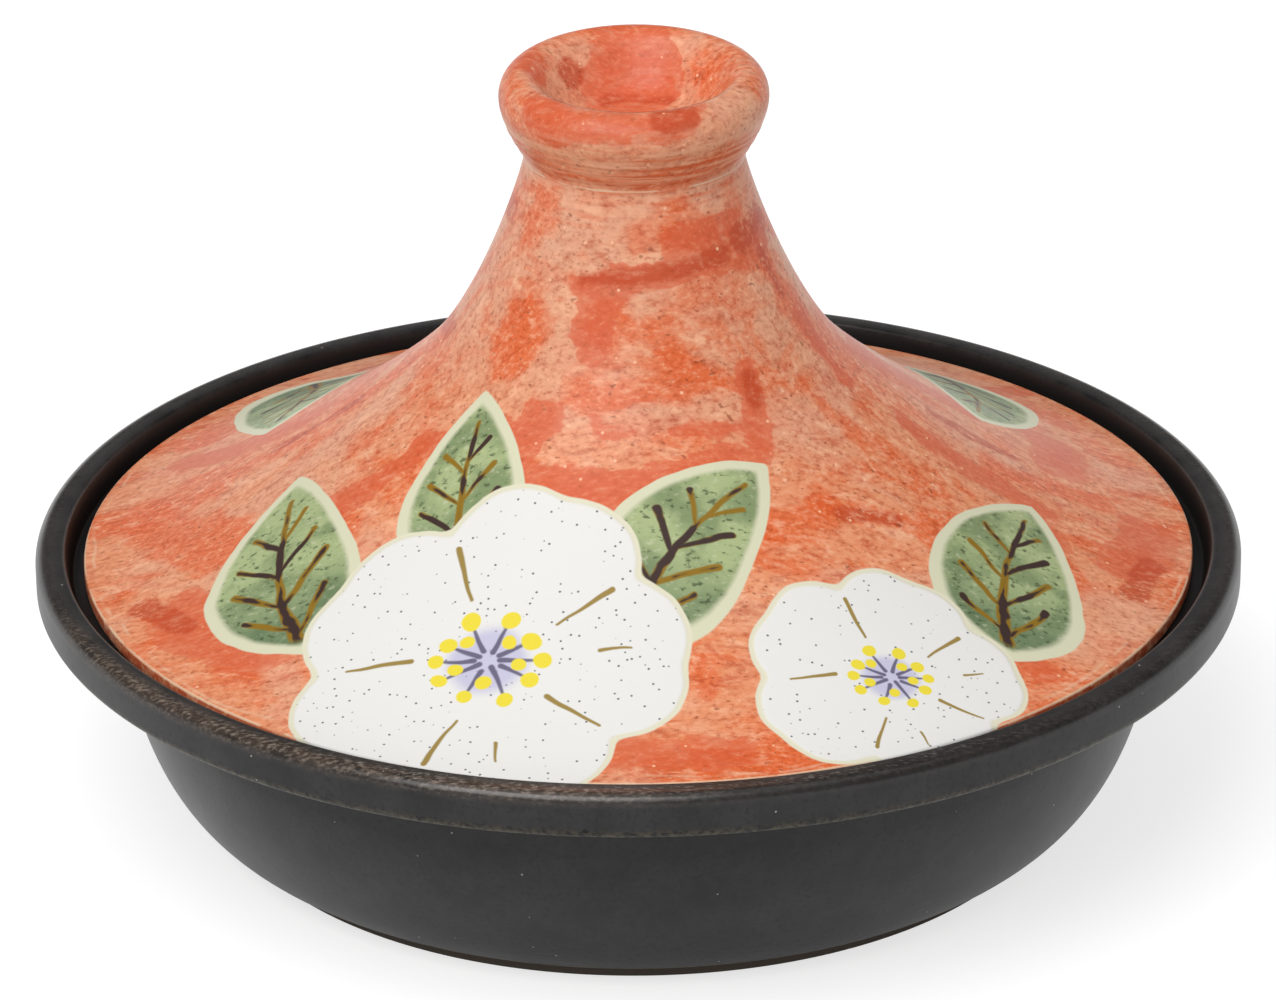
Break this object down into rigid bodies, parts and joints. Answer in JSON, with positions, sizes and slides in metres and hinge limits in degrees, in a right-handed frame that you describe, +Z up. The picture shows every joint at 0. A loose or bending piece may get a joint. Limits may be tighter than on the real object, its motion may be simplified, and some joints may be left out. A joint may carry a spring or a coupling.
{
  "type": "tagine",
  "caption": "Round stoneware cooking dish with a wide flat rim and a tall conical lid that ends in a flared, cupped knob.",
  "frame": {"origin": "on the ground at the centre of the dish's foot ring", "axes": "+Z up along the axis that both pieces are turned about; +Y away from the painted front of the lid"},
  "size_m": [0.25, 0.25, 0.1603],
  "materials": {
    "black_glaze": "satin",
    "painted_glaze": "glossy"
  },
  "bodies": {
    "dish": {"dish": "black_glaze"},
    "lid": {"lid": "painted_glaze"}
  },
  "joints": [
    {"name": "lid_lift", "type": "slide", "parent": "dish", "child": "lid", "axis": [0, 0, 1], "range_m": [0, 0.15]}
  ]
}
